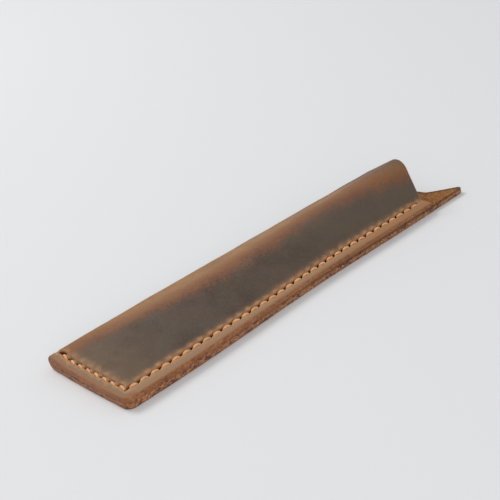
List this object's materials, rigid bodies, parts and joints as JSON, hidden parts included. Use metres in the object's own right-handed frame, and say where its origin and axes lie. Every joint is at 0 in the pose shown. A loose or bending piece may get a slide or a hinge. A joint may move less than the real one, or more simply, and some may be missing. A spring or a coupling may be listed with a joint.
{
  "type": "leather pen sleeve",
  "caption": "Slim open-topped leather sleeve for one pen, folded along one side and saddle stitched along the end and the other side, with an arched mouth and a pointed back tongue.",
  "frame": {"origin": "centre of the overall width and length, on the flat back face that the sleeve rests on", "axes": "+Y along the length and out of the mouth, +Z out of the front, +X towards the stitched long edge"},
  "size_m": [0.0404, 0.1571, 0.0171],
  "materials": {
    "leather": "waxed pull-up grain, rough flesh side, raw cut edges",
    "thread": "waxed thread, satin"
  },
  "bodies": {
    "root": {"leather_blank": "leather", "thread_first_needle": "thread", "thread_second_needle": "thread"}
  },
  "joints": []
}
